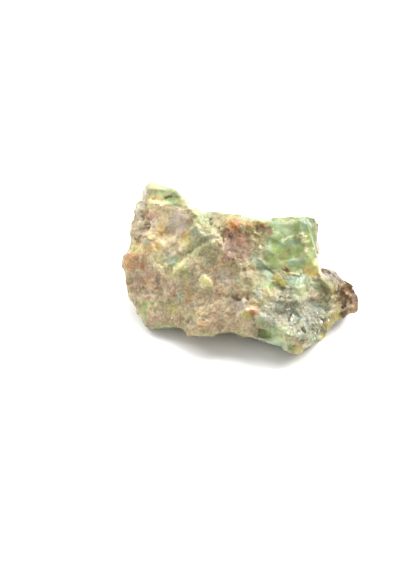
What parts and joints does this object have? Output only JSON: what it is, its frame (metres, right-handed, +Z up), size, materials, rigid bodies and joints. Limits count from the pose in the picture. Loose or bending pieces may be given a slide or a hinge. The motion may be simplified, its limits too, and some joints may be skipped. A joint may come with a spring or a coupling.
{
  "type": "rough green opal",
  "caption": "Palm-size broken piece of rough green opal: a broad uneven face with ledges and pits, a raised peak, a small brown knob and a rounded back, resting on a flat patch.",
  "frame": {"origin": "middle of the box round the stone in X and Y, at the level of the flat patch that it rests on", "axes": "+X along the stone, from its raised peak towards its brown knob; +Y away from the broad broken face; +Z up"},
  "size_m": [0.0634, 0.0474, 0.0318],
  "materials": {
    "green_opal": "rough broken stone: milky green and tan opal with a waxy sheen, rust-brown stains and grey sugary patches"
  },
  "bodies": {
    "root": {"opal": "green_opal"}
  },
  "joints": []
}
